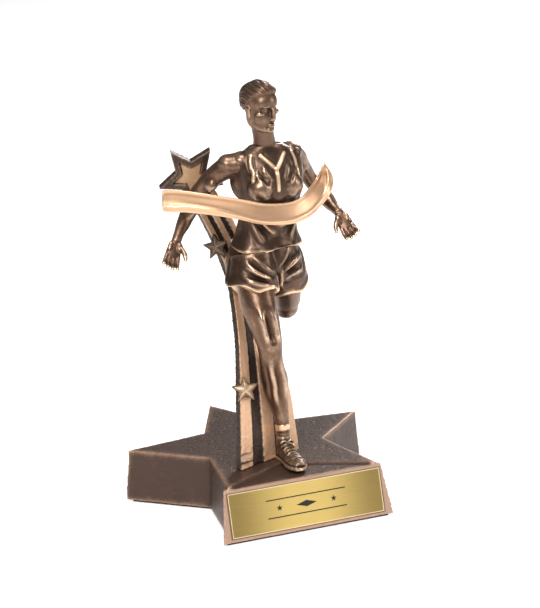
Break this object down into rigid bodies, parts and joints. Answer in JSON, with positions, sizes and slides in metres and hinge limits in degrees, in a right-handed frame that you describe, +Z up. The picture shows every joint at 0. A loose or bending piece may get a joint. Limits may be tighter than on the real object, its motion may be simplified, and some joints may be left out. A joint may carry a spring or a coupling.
{
  "type": "figure trophy",
  "caption": "Cast trophy: a runner breaks a finish tape before a shooting-star tail, on a five-pointed star base with a sloped name plate.",
  "frame": {"origin": "centre of the star base on the resting face, the underside of the felt", "axes": "+Z up; the runner and the name plate face -Y; +X is the runner's left; one star tip points to +Y"},
  "size_m": [0.1314, 0.1306, 0.218],
  "materials": {
    "felt": "dense black-brown felt",
    "bronze_base": "rough antique bronze paint, lighter on the edges",
    "foam_tape": "thin double-sided foam tape",
    "gold_plate": "brushed gold plate",
    "steel": "drawn steel",
    "bronze_trail": "antique bronze with gold painted stripes",
    "bronze_star": "antique bronze with a gold painted panel",
    "gold_star": "gold paint, antiqued in the hollows",
    "bronze_shoe": "antique bronze, rubbed bright on the laces and edges",
    "bronze_skin": "satin antique bronze, rubbed bright where it stands proud",
    "bronze_cloth": "antique bronze with gold painted hems",
    "bronze_head": "satin antique bronze, dark in the hollows of the hair",
    "gold_tape": "soft gold paint, antiqued in the folds"
  },
  "bodies": {
    "root": {"felt_pad": "felt", "star_base": "bronze_base", "plate_adhesive": "foam_tape", "name_plate": "gold_plate", "leg_rod": "steel", "waist_dowel": "steel", "neck_dowel": "steel", "hip_dowels": "steel", "shoulder_dowels": "steel", "trail_dowels": "steel", "star_dowels": "steel", "shoe_dowel": "steel", "tape_pegs": "steel", "star_trail": "bronze_trail", "big_star": "bronze_star", "small_star_lower": "gold_star", "small_star_middle": "bronze_star", "standing_shoe": "bronze_shoe", "standing_leg": "bronze_skin", "trailing_leg": "bronze_skin", "trailing_shoe": "bronze_shoe", "shorts": "bronze_cloth", "torso": "bronze_cloth", "right_arm": "bronze_skin", "left_arm": "bronze_skin", "head": "bronze_head", "finish_tape": "gold_tape"}
  },
  "joints": []
}
